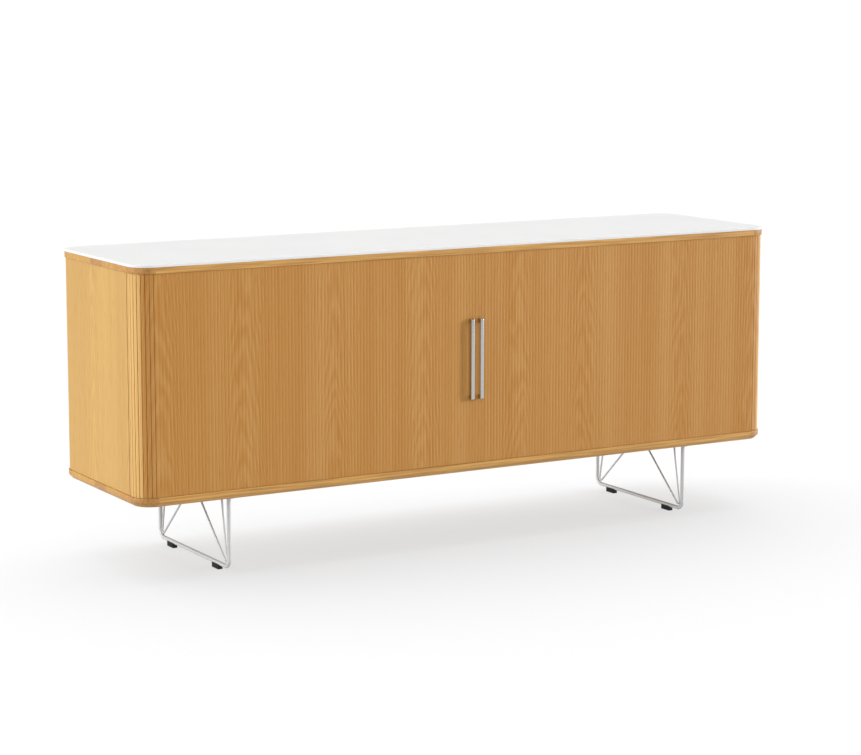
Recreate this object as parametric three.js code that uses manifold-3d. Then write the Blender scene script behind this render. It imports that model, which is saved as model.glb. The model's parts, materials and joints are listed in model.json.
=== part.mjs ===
// Office credenza: an oak cabinet with two tambour doors and a pale top, on two braced wire legs.
// Millimetres. +X runs along the length to the right, the doors face -Y and +Z is up.
// The origin lies on the floor under the middle of the whole object's box.

import * as THREE from 'three';
import { mergeVertices } from 'three/addons/utils/BufferGeometryUtils.js';
import Module from 'manifold-3d';

const wasm = await Module();
wasm.setup();

// Overall sizes
const LENGTH = 1800;
const DEPTH = 466;
const CORNER_RADIUS = 50;
const LEG_HEIGHT = 186;
const OPENING_HEIGHT = 519;

// Boards, from the floor up
const BOTTOM_THICKNESS = 22;
const BOTTOM_CHAMFER = 10;
const TOP_THICKNESS = 15;
const SHEET_THICKNESS = 6;
const SHEET_EASE = 1;

// Panels and what stands inside
const REVEAL = 2.5; // the boards stand this far proud of the panels and the doors
const PANEL_THICKNESS = 12;
const PANEL_NOSE = 2; // thickness left at the front edge of a side panel
const LINING_THICKNESS = 15;
const INNER_BACK_THICKNESS = 8;
const PARTITION_THICKNESS = 18;
const INTERIOR_SETBACK = 28; // from the front edge of the boards to the fronts of the inner pieces
const SHELF_THICKNESS = 18;
const SHELF_HEIGHT = 250; // from the bottom board to the underside of the shelf
const SHELF_SETBACK = 8;
const SHELF_CLEARANCE = 1;
const PIN_DIAMETER = 5;
const PIN_LENGTH = 14;
const PIN_DEPTH = 6;
const PIN_INSET = 60; // from the front and back edges of a shelf

// Tambour doors
const SLAT_PITCH = 8.72;
const SLAT_FACE = 7.5;
const SLAT_DEPTH = 5.2; // in front of the canvas web
const WEB_THICKNESS = 3;
const TONGUE_THICKNESS = 2.4;
const TONGUE_DEPTH = 6;
const GROOVE_DEPTH = 7;
const GROOVE_CLEARANCE = 0.6; // on each face of a tongue
const SLAT_CLEARANCE = 1; // above and below the slats
const TRACK_CLEARANCE = 1; // between the slats and the panels that they pass
const TUCK_ANGLE = 29; // degrees that the track turns past square to slip behind a side panel
const TAIL_SLATS = 2; // slats that stay behind the side panel when a door is shut
const STILE_SLATS = 3; // slat widths taken by the rigid lead stile
const STILE_DEPTH = 14;
const STILE_GROOVE = 1.2;
const MEETING_GAP = 0.8;
const CANVAS_ENTRY = 6; // how far the canvas reaches into the lead stile
const STOP_LENGTH = 15;
const STOP_DEPTH = 9;
const STOP_HEIGHT = 12;

// Handles
const HANDLE_LENGTH = 200;
const HANDLE_WIDTH = 10;
const HANDLE_PROJECTION = 12;
const HANDLE_THICKNESS = 4;
const HANDLE_FOOT = 11;
const HANDLE_ROUNDING = 2.5;

// Legs
const LEG_INSET = 243; // from the end of the boards to the plane of a leg
const LEG_SETBACK = 36; // from the front and back edges of the boards to the uprights
const TUBE_DIAMETER = 10;
const TUBE_BEND = 20;
const BRACE_DIAMETER = 5;
const BRACE_BEND = 6;
const BRACE_TOP_SPREAD = 40; // from an upright to the top of the steep arm
const BRACE_TOP_GAP = 8; // between the long arms of the two braces at the top
const BAR_OVERHANG = 13; // past each upright
const BAR_WIDTH = 25;
const BAR_THICKNESS = 4;
const PAD_LENGTH = 35;
const PAD_WIDTH = 12;
const PAD_HEIGHT = 9; // from the floor to the underside of the tube
const PAD_LIP = 3; // how far a pad climbs round the tube
const PAD_SETBACK = 68; // from an upright to the middle of a pad

// Screws
const WOOD_SCREW = { shank: 5, head: 9.5, headHeight: 3.2, length: 20, socket: 4.4 };
const WOOD_SCREW_SETBACK = 12; // from an upright to the nearest screw
const WOOD_SCREW_SPACING = 100;
const HANDLE_SCREW = { shank: 4, head: 7.5, headHeight: 2.4, length: 20, socket: 3.4 };
const SCREW_EASE = 0.6; // on the rim of a head
const SCREW_POINT = 1; // taper at the tip
const SOCKET_DEPTH = 1.2;

// Gap between pieces that are screwed, slotted or pinned together
const FIT = 0.3;

// Faceting
const ARC_STEP = 10; // degrees
const TUBE_SIDES = 12;
const BRACE_SIDES = 8;
const SCREW_SIDES = 12;

// Heights and plan lines that follow from the sizes above
const bottomTop = LEG_HEIGHT + BOTTOM_THICKNESS;
const topUnderside = bottomTop + OPENING_HEIGHT;
const topTop = topUnderside + TOP_THICKNESS;
const front = -DEPTH / 2;
const back = DEPTH / 2;
const end = LENGTH / 2;
const cornerX = end - CORNER_RADIUS;
const cornerY = back - CORNER_RADIUS;
const slatLow = bottomTop + SLAT_CLEARANCE;
const slatHigh = topUnderside - SLAT_CLEARANCE;
const faceOffset = WEB_THICKNESS / 2 + SLAT_DEPTH; // from the track line to the face of the slats
const stileWidth = STILE_SLATS * SLAT_PITCH;
const doorFace = front + REVEAL;
const trackFront = doorFace + faceOffset;
const barUnderside = LEG_HEIGHT - BAR_THICKNESS;

const radians = THREE.MathUtils.degToRad;

const oak = new THREE.MeshStandardMaterial({ color: '#c08d55', roughness: 0.55, metalness: 0 });
const oakEdge = new THREE.MeshStandardMaterial({ color: '#c8985c', roughness: 0.55, metalness: 0 });
const oakPanel = new THREE.MeshStandardMaterial({ color: '#d9ac6e', roughness: 0.55, metalness: 0 });
const lining = new THREE.MeshStandardMaterial({ color: '#cfa267', roughness: 0.6, metalness: 0 });
const laminate = new THREE.MeshStandardMaterial({ color: '#ececea', roughness: 0.45, metalness: 0 });
const steel = new THREE.MeshStandardMaterial({ color: '#c9cbcc', roughness: 0.25, metalness: 1 });
const aluminium = new THREE.MeshStandardMaterial({ color: '#b0b3b6', roughness: 0.35, metalness: 1 });
const zinc = new THREE.MeshStandardMaterial({ color: '#a9acae', roughness: 0.4, metalness: 1 });
const rubber = new THREE.MeshStandardMaterial({ color: '#1b1b1c', roughness: 0.8, metalness: 0 });

// A line in a plane made of straight runs and arcs, addressed by the distance along it.
// A positive offset lies to the right of the direction of travel.
class Track {
  constructor(x, y, heading) {
    this.runs = [];
    this.length = 0;
    this.tip = { x, y, heading };
  }

  add(length, turn) {
    this.runs.push({ from: this.length, length, turn, start: this.tip });
    this.length += length;
    this.tip = this.frame(this.length);
    return this;
  }

  line(length) {
    return this.add(length, 0);
  }

  // Turns left by the given degrees, or right where they are negative.
  arc(radius, degrees) {
    return this.add(radius * radians(Math.abs(degrees)), radians(degrees));
  }

  frame(distance) {
    const run = this.runs.find(({ from, length }) => distance <= from + length) ?? this.runs.at(-1);
    const { x, y, heading } = run.start;
    const along = distance - run.from;
    if (run.turn === 0) {
      return { x: x + along * Math.cos(heading), y: y + along * Math.sin(heading), heading };
    }
    const bent = heading + (run.turn * along) / run.length;
    const radius = run.length / run.turn;
    return {
      x: x + radius * (Math.sin(bent) - Math.sin(heading)),
      y: y - radius * (Math.cos(bent) - Math.cos(heading)),
      heading: bent,
    };
  }

  at(distance, offset = 0, ahead = 0) {
    const { x, y, heading } = this.frame(distance);
    const [cos, sin] = [Math.cos(heading), Math.sin(heading)];
    return [x + offset * sin + ahead * cos, y - offset * cos + ahead * sin];
  }

  // The ends of the runs and the steps of the arcs that lie between two distances.
  stations(from, to) {
    const inside = [];
    for (const run of this.runs) {
      const steps = Math.max(1, Math.ceil(Math.abs(run.turn) / radians(ARC_STEP) - 1e-6));
      for (let i = 1; i <= steps; i += 1) inside.push(run.from + (run.length * i) / steps);
    }
    return [from, ...inside.filter((s) => s > from + 0.01 && s < to - 0.01), to];
  }

  side(from, to, offset) {
    return this.stations(from, to).map((s) => this.at(s, offset));
  }

  band(from, to, inner, outer) {
    return [...this.side(from, to, outer), ...this.side(from, to, inner).reverse()];
  }
}

// A track through the given corners, each rounded with the same bend.
function bentTrack(corners, bend) {
  const legs = corners.slice(1).map(([x, y], i) => {
    const [px, py] = corners[i];
    return { length: Math.hypot(x - px, y - py), heading: Math.atan2(y - py, x - px) };
  });
  const turns = legs.slice(1).map(({ heading }, i) => {
    const turn = heading - legs[i].heading;
    return Math.atan2(Math.sin(turn), Math.cos(turn));
  });
  const cuts = turns.map((turn) => bend * Math.tan(Math.abs(turn) / 2));
  const track = new Track(...corners[0], legs[0].heading);
  legs.forEach(({ length }, i) => {
    track.line(length - (cuts[i - 1] ?? 0) - (cuts[i] ?? 0));
    if (i < turns.length) track.arc(bend, THREE.MathUtils.radToDeg(turns[i]));
  });
  return track;
}

// A closed skin over rings that all have the same number of points.
function loft(rings) {
  const count = rings[0].length;
  const points = rings.flat();
  const faces = [];
  for (let r = 0; r + 1 < rings.length; r += 1) {
    for (let i = 0; i < count; i += 1) {
      const [a, b] = [r * count + i, r * count + ((i + 1) % count)];
      faces.push(a, b, b + count, a, b + count, a + count);
    }
  }
  const last = (rings.length - 1) * count;
  for (let i = 1; i + 1 < count; i += 1) faces.push(0, i + 1, i, last, last + i, last + i + 1);
  const geometry = new THREE.BufferGeometry();
  geometry.setAttribute('position', new THREE.Float32BufferAttribute(points.flat(), 3));
  geometry.setIndex(faces);
  return geometry;
}

function extrude(outline, low, high) {
  const shape = new THREE.Shape(outline.map(([x, y]) => new THREE.Vector2(x, y)));
  const geometry = new THREE.ExtrudeGeometry(shape, { depth: high - low, bevelEnabled: false });
  return geometry.translate(0, 0, low);
}

function block(x0, x1, y0, y1, z0, z1) {
  const geometry = new THREE.BoxGeometry(Math.abs(x1 - x0), y1 - y0, z1 - z0);
  return geometry.translate((x0 + x1) / 2, (y0 + y1) / 2, (z0 + z1) / 2);
}

// A round bar along +Z, from the origin up.
function bar(diameter, length, sides = SCREW_SIDES) {
  const geometry = new THREE.CylinderGeometry(diameter / 2, diameter / 2, length, sides);
  return geometry.rotateX(Math.PI / 2).translate(0, 0, length / 2);
}

// A screw that points along +Z, with the underside of its head at the origin.
function screw({ shank, head, headHeight, length, socket }) {
  const profile = [
    [0, length],
    [shank / 2 - SCREW_POINT, length],
    [shank / 2, length - SCREW_POINT],
    [shank / 2, 0],
    [head / 2, 0],
    [head / 2, SCREW_EASE - headHeight],
    [head / 2 - SCREW_EASE, -headHeight],
    [socket / 2, -headHeight],
    [socket / 2, SOCKET_DEPTH - headHeight],
    [0, SOCKET_DEPTH - headHeight],
  ];
  const points = profile.reverse().map(([r, z]) => new THREE.Vector2(r, z));
  return new THREE.LatheGeometry(points, SCREW_SIDES).rotateX(Math.PI / 2);
}

function toSolid(source) {
  const geometry = source.clone();
  geometry.deleteAttribute('normal');
  geometry.deleteAttribute('uv');
  const merged = mergeVertices(geometry, 1e-4);
  return new wasm.Manifold(
    new wasm.Mesh({
      numProp: 3,
      vertProperties: new Float32Array(merged.attributes.position.array),
      triVerts: new Uint32Array(merged.index.array),
    }),
  );
}

function toGeometry(solid) {
  const { vertProperties, triVerts } = solid.getMesh();
  const geometry = new THREE.BufferGeometry();
  geometry.setAttribute('position', new THREE.BufferAttribute(vertProperties, 3));
  geometry.setIndex(new THREE.BufferAttribute(triVerts, 1));
  return geometry;
}

function cut(geometry, cutters) {
  const solid = cutters.reduce((left, cutter) => left.subtract(toSolid(cutter)), toSolid(geometry));
  return toGeometry(solid);
}

function join(first, second) {
  return toGeometry(toSolid(first).add(toSolid(second)));
}

const credenza = new THREE.Group();
credenza.name = 'office_credenza';

function addPart(name, geometry, material, [x, y, z] = [0, 0, 0]) {
  const mesh = new THREE.Mesh(geometry, material);
  mesh.name = name;
  mesh.position.set(x, y, z);
  credenza.add(mesh);
}

const SIDES = [
  { side: 'left', sign: -1 },
  { side: 'right', sign: 1 },
];
const mirrored = (outline, sign) => outline.map(([x, y]) => [sign * x, y]);

// The line of the tambour's web in plan, from the middle of the front round to the back.
// It follows the front corner, tucks in behind the side panel and runs round the back corner.
const frontBend = CORNER_RADIUS - REVEAL - faceOffset;
const rearBend = frontBend - PANEL_THICKNESS - TRACK_CLEARANCE;
const tuckCosine = Math.cos(radians(TUCK_ANGLE));
const tuckBend = (frontBend * tuckCosine - rearBend) / (1 - tuckCosine);
const tuckRise = (frontBend + tuckBend) * Math.sin(radians(TUCK_ANGLE));
const doorTrack = new Track(0, trackFront, 0)
  .line(cornerX)
  .arc(frontBend, 90 + TUCK_ANGLE)
  .arc(tuckBend, -TUCK_ANGLE)
  .line(2 * cornerY - tuckRise)
  .arc(rearBend, 90)
  .line(cornerX - PARTITION_THICKNESS);
const [, , tuckRun, , rearRun] = doorTrack.runs;
const tuckEnd = tuckRun.from + tuckRun.length;
const rearEnd = rearRun.from + rearRun.length;

// The doors' slats, their travel and the length of groove that the travel needs.
const slatCount = Math.ceil((tuckEnd - stileWidth) / SLAT_PITCH) + TAIL_SLATS;
const curtainEnd = stileWidth + slatCount * SLAT_PITCH;
const stopX = cornerX - STOP_LENGTH;
const doorTravel = stopX - stileWidth - FIT;
const grooveEnd = Math.min(curtainEnd + doorTravel + SLAT_PITCH, doorTrack.length);

function roundedRectangle(inset) {
  const radius = CORNER_RADIUS - inset;
  const steps = Math.ceil(90 / ARC_STEP);
  const outline = [];
  for (const [quarter, [sx, sy]] of [[1, 1], [-1, 1], [-1, -1], [1, -1]].entries()) {
    for (let i = 0; i <= steps; i += 1) {
      const angle = radians(90 * (quarter + i / steps));
      outline.push([sx * cornerX + radius * Math.cos(angle), sy * cornerY + radius * Math.sin(angle)]);
    }
  }
  return outline;
}

// A board with rounded corners, drawn in by an inset at each of the given heights.
function board(layers) {
  return loft(layers.map(({ z, inset }) => roundedRectangle(inset).map(([x, y]) => [x, y, z])));
}

function trackGroove(low, high) {
  const half = TONGUE_THICKNESS / 2 + GROOVE_CLEARANCE;
  const run = (offset) => {
    const line = doorTrack.side(0, grooveEnd, offset);
    return [...mirrored(line.slice(1), -1).reverse(), ...line];
  };
  return extrude([...run(half), ...run(-half).reverse()], low, high);
}

// Legs are placed by these lines, and the bottom board is drilled for their screws.
const legX = end - LEG_INSET;
const upright = back - LEG_SETBACK;
const outerScrew = upright - WOOD_SCREW_SETBACK;
const innerScrew = outerScrew - WOOD_SCREW_SPACING;
const woodScrewPlaces = [-outerScrew, -innerScrew, innerScrew, outerScrew];

function addBoards() {
  const sheet = board([
    { z: topTop, inset: 0 },
    { z: topTop + SHEET_THICKNESS - SHEET_EASE, inset: 0 },
    { z: topTop + SHEET_THICKNESS, inset: SHEET_EASE },
  ]);
  addPart('top_sheet', sheet, laminate);

  const top = board([
    { z: topUnderside, inset: 0 },
    { z: topTop, inset: 0 },
  ]);
  addPart('top_board', cut(top, [trackGroove(topUnderside - 1, topUnderside + GROOVE_DEPTH)]), oakEdge);

  const bottom = board([
    { z: LEG_HEIGHT, inset: BOTTOM_CHAMFER },
    { z: LEG_HEIGHT + BOTTOM_CHAMFER, inset: 0 },
    { z: bottomTop, inset: 0 },
  ]);
  const pilots = SIDES.flatMap(({ sign }) =>
    woodScrewPlaces.map((y) =>
      bar(WOOD_SCREW.shank + 2 * FIT, WOOD_SCREW.length).translate(sign * legX, y, barUnderside + FIT),
    ),
  );
  const groove = trackGroove(bottomTop - GROOVE_DEPTH, bottomTop + 1);
  addPart('bottom_board', cut(bottom, [groove, ...pilots]), oakEdge);
}

// A side panel is bent round the back corner. Its inside follows the track, so it thins to a nose in front.
function addOuterPanels() {
  const outerRadius = CORNER_RADIUS - REVEAL;
  const innerOffset = faceOffset + TRACK_CLEARANCE;
  const noseAngle = Math.acos((outerRadius - PANEL_NOSE) / (frontBend + innerOffset));
  const noseStart = cornerX + frontBend * (Math.PI / 2 + noseAngle);
  const noseY = -cornerY + (frontBend + innerOffset) * Math.sin(noseAngle);
  const outside = new Track(end - REVEAL, noseY, Math.PI / 2).line(cornerY - noseY).arc(outerRadius, 90);
  const outline = [
    ...outside.side(0, outside.length, 0),
    ...doorTrack.side(noseStart, rearEnd, innerOffset).reverse(),
  ];
  for (const { side, sign } of SIDES) {
    addPart(`${side}_side_panel`, extrude(mirrored(outline, sign), bottomTop, topUnderside), oakPanel);
  }
  const backFace = back - REVEAL;
  const reach = cornerX - FIT;
  const panel = block(-reach, reach, backFace - PANEL_THICKNESS, backFace, bottomTop, topUnderside);
  addPart('back_panel', panel, oakPanel);
}

// The inner lining keeps what is stored clear of the doors as they slide round behind it.
function addInterior() {
  const liningReach = (rearBend - WEB_THICKNESS / 2 - TRACK_CLEARANCE) * Math.SQRT1_2;
  const liningX = cornerX + liningReach;
  const liningY = cornerY + liningReach;
  const sideFace = liningX - LINING_THICKNESS;
  const backFace = liningY - INNER_BACK_THICKNESS;
  const interiorFront = front + INTERIOR_SETBACK;
  const wall = PARTITION_THICKNESS / 2;
  const shelfLow = bottomTop + SHELF_HEIGHT;
  const shelfFront = interiorFront + SHELF_SETBACK;
  const shelfBack = backFace - SHELF_CLEARANCE;
  const pinZ = shelfLow - FIT - PIN_DIAMETER / 2;
  const pinRows = [
    { row: 'front', y: shelfFront + PIN_INSET },
    { row: 'rear', y: shelfBack - PIN_INSET },
  ];
  const pinHoles = (x, direction) =>
    pinRows.map(({ y }) => {
      const bore = bar(PIN_DIAMETER + 2 * FIT, PIN_DEPTH + FIT + 1).translate(0, 0, -1);
      return bore.rotateY((direction * Math.PI) / 2).translate(x, y, pinZ);
    });

  const partition = block(-wall, wall, interiorFront, liningY, bottomTop, topUnderside);
  const partitionHoles = [...pinHoles(wall, -1), ...pinHoles(-wall, 1)];
  addPart('centre_partition', cut(partition, partitionHoles), lining);

  for (const { side, sign } of SIDES) {
    const panelX = [sign * sideFace, sign * liningX];
    const panel = block(...panelX, interiorFront, liningY, bottomTop, topUnderside);
    addPart(`${side}_inner_side`, cut(panel, pinHoles(sign * sideFace, sign)), lining);

    const backX = [sign * (wall + FIT), sign * (sideFace - FIT)];
    addPart(`${side}_inner_back`, block(...backX, backFace, liningY, bottomTop, topUnderside), lining);

    const shelfX = [sign * (wall + SHELF_CLEARANCE), sign * (sideFace - SHELF_CLEARANCE)];
    const shelf = block(...shelfX, shelfFront, shelfBack, shelfLow, shelfLow + SHELF_THICKNESS);
    addPart(`${side}_shelf`, shelf, lining);

    const pin = bar(PIN_DIAMETER, PIN_LENGTH).translate(0, 0, -PIN_LENGTH / 2).rotateY(Math.PI / 2);
    const proud = PIN_LENGTH / 2 - PIN_DEPTH;
    for (const { row, y } of pinRows) {
      addPart(`${side}_shelf_pin_inner_${row}`, pin, zinc, [sign * (wall + proud), y, pinZ]);
      addPart(`${side}_shelf_pin_outer_${row}`, pin, zinc, [sign * (sideFace - proud), y, pinZ]);
    }
  }
}

// One door's slats on their canvas, with the tongues that run in the grooves of the boards.
function addTambour({ side, sign }) {
  const web = WEB_THICKNESS / 2;
  const canvasStart = stileWidth - CANVAS_ENTRY + FIT;
  const outline = [doorTrack.at(canvasStart, web), doorTrack.at(stileWidth, web)];
  for (let i = 0; i < slatCount; i += 1) {
    const middle = stileWidth + (i + 0.5) * SLAT_PITCH;
    outline.push(doorTrack.at(middle, faceOffset, -SLAT_FACE / 2));
    outline.push(doorTrack.at(middle, faceOffset, SLAT_FACE / 2));
    outline.push(doorTrack.at(middle + SLAT_PITCH / 2, web));
  }
  outline.push(...doorTrack.side(canvasStart, curtainEnd, -web).reverse());
  const slats = extrude(mirrored(outline, sign), slatLow, slatHigh);

  const tongue = doorTrack.band(stileWidth, curtainEnd, -TONGUE_THICKNESS / 2, TONGUE_THICKNESS / 2);
  const tongues = extrude(mirrored(tongue, sign), bottomTop - TONGUE_DEPTH, topUnderside + TONGUE_DEPTH);
  addPart(`${side}_tambour`, join(slats, tongues), oak);
}

const handleX = stileWidth / 2;
const handleMiddle = (bottomTop + topUnderside) / 2;
const handleScrewSpread = HANDLE_LENGTH - HANDLE_FOOT;

function handleScrewPlaces(sign) {
  return [
    { level: 'lower', x: sign * handleX, z: handleMiddle - handleScrewSpread / 2 },
    { level: 'upper', x: sign * handleX, z: handleMiddle + handleScrewSpread / 2 },
  ];
}

// The bores of a handle's screws between two depths.
function handleBores(sign, from, to) {
  return handleScrewPlaces(sign).map(({ x, z }) =>
    bar(HANDLE_SCREW.shank + 2 * FIT, to - from).rotateX(Math.PI / 2).translate(x, to, z),
  );
}

// The rigid stile that leads a door, grooved on its face like the slats that follow it.
function addLeadStile({ side, sign }) {
  const near = MEETING_GAP / 2;
  const far = stileWidth - FIT;
  const rear = faceOffset - STILE_DEPTH;
  const slot = WEB_THICKNESS / 2 + FIT;
  const outline = [doorTrack.at(near, rear), doorTrack.at(near, faceOffset)];
  for (let i = 1; i < STILE_SLATS; i += 1) {
    const line = i * SLAT_PITCH;
    outline.push(doorTrack.at(line - STILE_GROOVE / 2, faceOffset));
    outline.push(doorTrack.at(line, faceOffset - STILE_GROOVE));
    outline.push(doorTrack.at(line + STILE_GROOVE / 2, faceOffset));
  }
  const slotEnd = stileWidth - CANVAS_ENTRY;
  outline.push(doorTrack.at(far, faceOffset), doorTrack.at(far, slot));
  outline.push(doorTrack.at(slotEnd, slot), doorTrack.at(slotEnd, -slot));
  outline.push(doorTrack.at(far, -slot), doorTrack.at(far, rear));
  const body = extrude(mirrored(outline, sign), slatLow, slatHigh);

  const tongue = doorTrack.band(near, slotEnd, -TONGUE_THICKNESS / 2, TONGUE_THICKNESS / 2);
  const tongues = extrude(mirrored(tongue, sign), bottomTop - TONGUE_DEPTH, topUnderside + TONGUE_DEPTH);
  const bores = handleBores(sign, doorFace - STILE_DEPTH, doorFace + 2 * STILE_DEPTH);
  addPart(`${side}_lead_stile`, cut(join(body, tongues), bores), oak);
}

// A flat bar bridged between two feet, drawn as its outline seen from the side.
function addHandle({ side, sign }) {
  const half = HANDLE_LENGTH / 2;
  const round = HANDLE_ROUNDING;
  const crown = HANDLE_PROJECTION;
  const hollow = HANDLE_PROJECTION - HANDLE_THICKNESS;
  const inside = half - HANDLE_FOOT;
  const outline = new THREE.Shape();
  outline.moveTo(0, -half);
  outline.absarc(crown - round, -half + round, round, -Math.PI / 2, 0);
  outline.absarc(crown - round, half - round, round, 0, Math.PI / 2);
  outline.lineTo(0, half);
  outline.lineTo(0, inside);
  outline.absarc(hollow - round, inside - round, round, Math.PI / 2, 0, true);
  outline.absarc(hollow - round, round - inside, round, 0, -Math.PI / 2, true);
  outline.lineTo(0, -inside);
  const options = { depth: HANDLE_WIDTH, bevelEnabled: false, curveSegments: 4 };
  const outward = new THREE.Vector3(0, -1, 0);
  const upward = new THREE.Vector3(0, 0, 1);
  const turn = new THREE.Matrix4().makeBasis(outward, upward, outward.clone().cross(upward));
  const bridge = new THREE.ExtrudeGeometry(outline, options)
    .translate(0, 0, -HANDLE_WIDTH / 2)
    .applyMatrix4(turn)
    .translate(sign * handleX, doorFace - FIT, handleMiddle);
  const screwTip = doorFace + STILE_DEPTH - HANDLE_SCREW.length;
  const bores = handleBores(sign, screwTip - FIT, doorFace + STILE_DEPTH);
  addPart(`${side}_handle`, cut(bridge, bores), aluminium);

  for (const { level, x, z } of handleScrewPlaces(sign)) {
    const geometry = screw(HANDLE_SCREW).rotateX(Math.PI / 2);
    addPart(`${side}_handle_screw_${level}`, geometry, zinc, [x, doorFace + STILE_DEPTH + FIT, z]);
  }
}

// A block under the top board that the thick back of the lead stile meets at the end of its travel.
function addDoorStop({ side, sign }) {
  const y = trackFront + WEB_THICKNESS / 2 + TRACK_CLEARANCE;
  const z = topUnderside - STOP_HEIGHT;
  const stop = block(sign * stopX, sign * cornerX, y, y + STOP_DEPTH, z, topUnderside);
  addPart(`${side}_door_stop`, stop, rubber);
}

// A round rod along a track that lies in the plane of a leg, its ends trimmed level under the mounting bar.
function rod(track, diameter, sides) {
  const stations = track.stations(0, track.length);
  const rings = stations.map((s, index) => {
    const { x: y, y: z, heading } = track.frame(s);
    const atEnd = index === 0 || index === stations.length - 1;
    const [cos, sin] = [Math.cos(heading), Math.sin(heading)];
    return Array.from({ length: sides }, (_, i) => {
      const angle = (-2 * Math.PI * (i + 0.5)) / sides;
      const aside = (diameter / 2) * Math.sin(angle);
      const [py, pz] = [y - aside * sin, z + aside * cos];
      const trim = atEnd ? (barUnderside - pz) / sin : 0;
      return [(diameter / 2) * Math.cos(angle), py + trim * cos, pz + trim * sin];
    });
  });
  return loft(rings);
}

function mountingBar() {
  const half = BAR_WIDTH / 2;
  const reach = upright + BAR_OVERHANG - half;
  const outline = new Track(half, -reach, Math.PI / 2)
    .line(2 * reach)
    .arc(half, 180)
    .line(2 * reach)
    .arc(half, 180);
  const plate = extrude(outline.side(0, outline.length, 0).slice(1), barUnderside, LEG_HEIGHT);
  const holes = woodScrewPlaces.map((y) =>
    bar(WOOD_SCREW.shank + 2 * FIT, 3 * BAR_THICKNESS).translate(0, y, barUnderside - BAR_THICKNESS),
  );
  return cut(plate, holes);
}

// A U of tube on two glides, with a V of thin rod in each lower corner and a bar that carries the cabinet.
function addLeg({ side, sign }) {
  const place = [sign * legX, 0, 0];
  const rail = PAD_HEIGHT + TUBE_DIAMETER / 2;
  const tube = bentTrack(
    [[-upright, barUnderside], [-upright, rail], [upright, rail], [upright, barUnderside]],
    TUBE_BEND,
  );
  addPart(`${side}_leg_tube`, rod(tube, TUBE_DIAMETER, TUBE_SIDES), steel, place);

  // The point of the V nests in the bend of the tube.
  const nest = TUBE_BEND - (TUBE_DIAMETER + BRACE_DIAMETER) / 2 - FIT - BRACE_BEND;
  const pointY = upright - TUBE_BEND + nest * Math.SQRT1_2;
  const pointZ = rail + TUBE_BEND - nest * Math.SQRT1_2;
  const brace = bentTrack(vCorners(pointY, pointZ), BRACE_BEND);
  const rear = rod(brace, BRACE_DIAMETER, BRACE_SIDES);
  addPart(`${side}_leg_rear_brace`, rear, steel, place);
  addPart(`${side}_leg_front_brace`, rear.clone().rotateZ(Math.PI), steel, place);
  addPart(`${side}_leg_mounting_bar`, mountingBar(), steel, place);

  woodScrewPlaces.forEach((y, i) => {
    const spot = [sign * legX, y, barUnderside - FIT];
    addPart(`${side}_leg_screw_${i + 1}`, screw(WOOD_SCREW), zinc, spot);
  });

  const saddle = bar(TUBE_DIAMETER + 2 * FIT, 2 * PAD_LENGTH, TUBE_SIDES)
    .translate(0, 0, -PAD_LENGTH)
    .rotateX(Math.PI / 2)
    .translate(0, 0, rail);
  const half = PAD_LENGTH / 2;
  const pad = cut(block(-PAD_WIDTH / 2, PAD_WIDTH / 2, -half, half, 0, PAD_HEIGHT + PAD_LIP), [saddle]);
  addPart(`${side}_leg_front_glide`, pad, rubber, [sign * legX, PAD_SETBACK - upright, 0]);
  addPart(`${side}_leg_rear_glide`, pad, rubber, [sign * legX, upright - PAD_SETBACK, 0]);
}

// The three corners of a V whose round point is centred on the given place.
function vCorners(pointY, pointZ) {
  const longTop = [BRACE_TOP_GAP / 2, barUnderside];
  const shortTop = [upright - BRACE_TOP_SPREAD, barUnderside];
  const unit = ([y, z]) => {
    const length = Math.hypot(y - pointY, z - pointZ);
    return [(y - pointY) / length, (z - pointZ) / length];
  };
  const [a, b] = [unit(longTop), unit(shortTop)];
  const half = Math.acos(a[0] * b[0] + a[1] * b[1]) / 2;
  const middle = [a[0] + b[0], a[1] + b[1]];
  const reach = BRACE_BEND / Math.sin(half) / Math.hypot(...middle);
  return [longTop, [pointY - reach * middle[0], pointZ - reach * middle[1]], shortTop];
}

addBoards();
addOuterPanels();
addInterior();
for (const place of SIDES) {
  addLeg(place);
  addLeadStile(place);
  addTambour(place);
  addHandle(place);
  addDoorStop(place);
}

// The handles reach past the front of the boards, so the cabinet sits back by half of that.
credenza.position.y = (HANDLE_PROJECTION + FIT - REVEAL) / 2;

export default credenza;
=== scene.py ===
import json
import math
from functools import partial

import bmesh
import bpy
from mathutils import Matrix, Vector


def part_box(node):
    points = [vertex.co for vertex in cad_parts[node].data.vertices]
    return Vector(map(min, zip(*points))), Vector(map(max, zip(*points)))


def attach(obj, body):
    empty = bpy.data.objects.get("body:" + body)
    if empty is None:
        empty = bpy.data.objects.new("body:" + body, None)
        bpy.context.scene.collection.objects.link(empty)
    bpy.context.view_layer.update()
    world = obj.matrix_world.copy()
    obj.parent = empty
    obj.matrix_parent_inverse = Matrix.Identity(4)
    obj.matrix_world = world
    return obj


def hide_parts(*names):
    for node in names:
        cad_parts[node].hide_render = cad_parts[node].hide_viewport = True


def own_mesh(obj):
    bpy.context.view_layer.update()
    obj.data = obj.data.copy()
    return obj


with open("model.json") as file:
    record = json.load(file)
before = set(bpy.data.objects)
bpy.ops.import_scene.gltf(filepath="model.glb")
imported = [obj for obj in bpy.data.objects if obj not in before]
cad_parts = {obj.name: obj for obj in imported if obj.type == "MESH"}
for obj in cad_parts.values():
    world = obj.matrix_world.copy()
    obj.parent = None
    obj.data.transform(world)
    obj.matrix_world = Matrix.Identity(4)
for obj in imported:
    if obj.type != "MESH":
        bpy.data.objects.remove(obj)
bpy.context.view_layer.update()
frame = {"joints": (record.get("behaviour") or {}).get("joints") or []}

# Office credenza: the finish of every surface and the fine shapes of its pieces, in metres.
# +X runs along the length to the right, the doors face -Y and +Z is up.

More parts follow.
